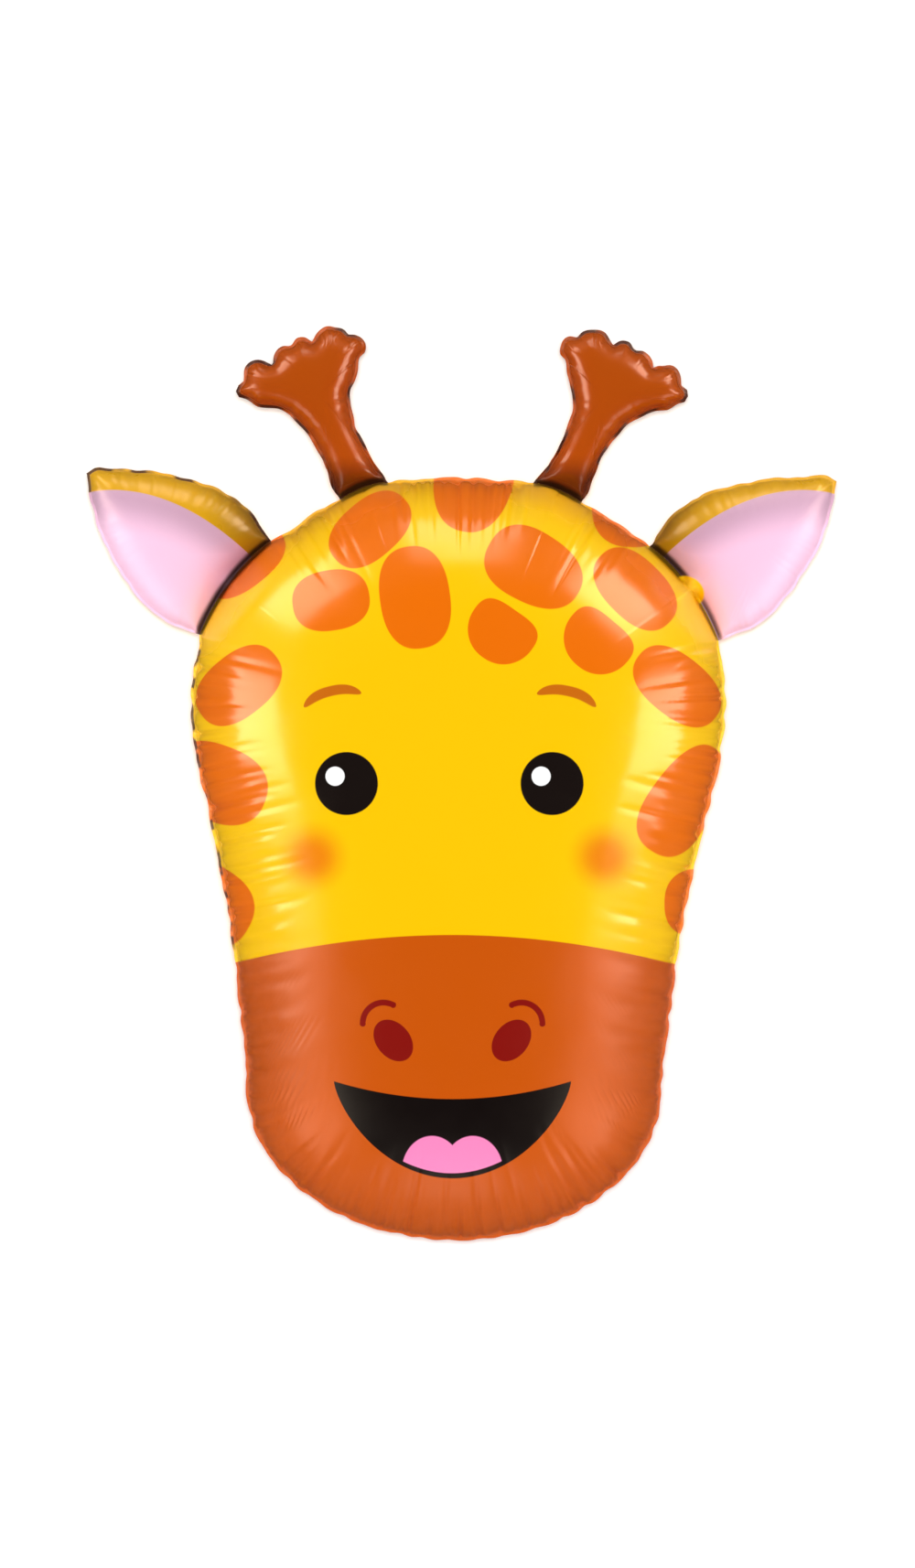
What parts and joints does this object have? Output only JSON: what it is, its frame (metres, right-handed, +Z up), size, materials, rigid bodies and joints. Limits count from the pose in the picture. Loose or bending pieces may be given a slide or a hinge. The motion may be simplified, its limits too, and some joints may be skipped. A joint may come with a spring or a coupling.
{
  "type": "giraffe foil balloon",
  "caption": "Inflated foil balloon in the shape of a smiling giraffe's head with ears and horns, lying face up.",
  "frame": {"origin": "on the floor under the middle of the balloon's box, as it lies on its back", "axes": "+X to the viewer's right across the face, +Y from the chin to the horns, +Z up out of the face"},
  "size_m": [0.674, 0.8199, 0.3075],
  "materials": {
    "printed_foil": "satin printed metallised film, heat-sealed at the edge, puckered along the seam"
  },
  "bodies": {
    "root": {"balloon": "printed_foil"}
  },
  "joints": []
}
